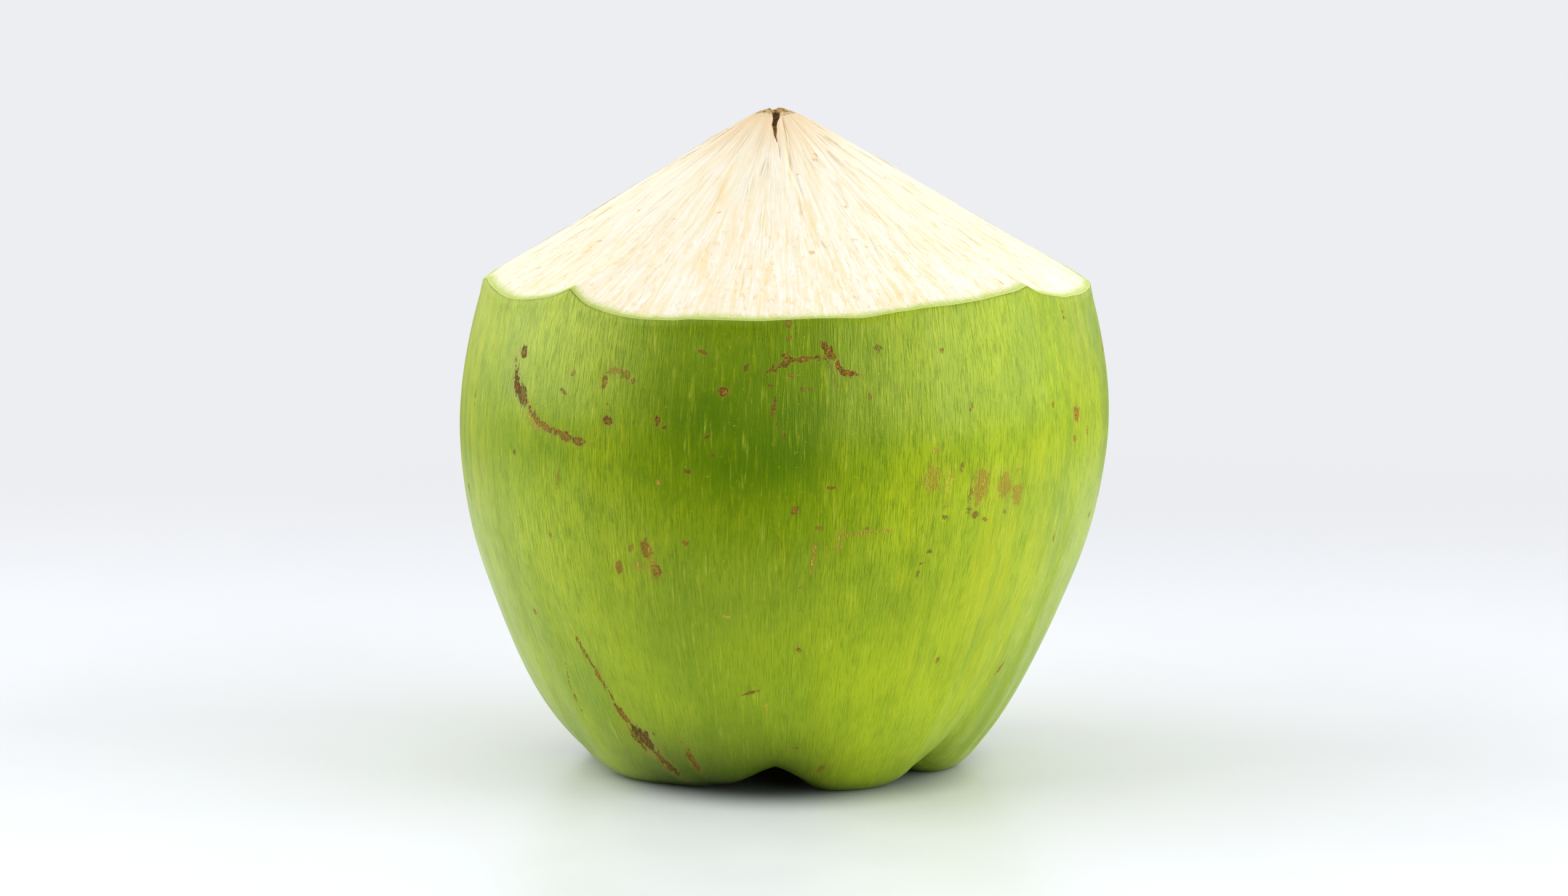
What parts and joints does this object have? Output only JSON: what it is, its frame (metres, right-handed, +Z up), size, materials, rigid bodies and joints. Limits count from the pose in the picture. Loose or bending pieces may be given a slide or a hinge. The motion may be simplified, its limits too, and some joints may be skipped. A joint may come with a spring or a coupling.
{
  "type": "green coconut",
  "caption": "Young green coconut standing on its lobed stem end, with its top pared to a blunt cone of bare white husk inside a wavy green rim.",
  "frame": {"origin": "on the ground under the middle of the fruit's box", "axes": "+Z up through the pared tip, -Y towards the front with the widest stroke of the knife, +X to the right seen from the front"},
  "size_m": [0.15, 0.15, 0.1514],
  "materials": {
    "coconut_husk": "waxy green skin with bare cream husk where it is pared"
  },
  "bodies": {
    "root": {"green_coconut": "coconut_husk"}
  },
  "joints": []
}
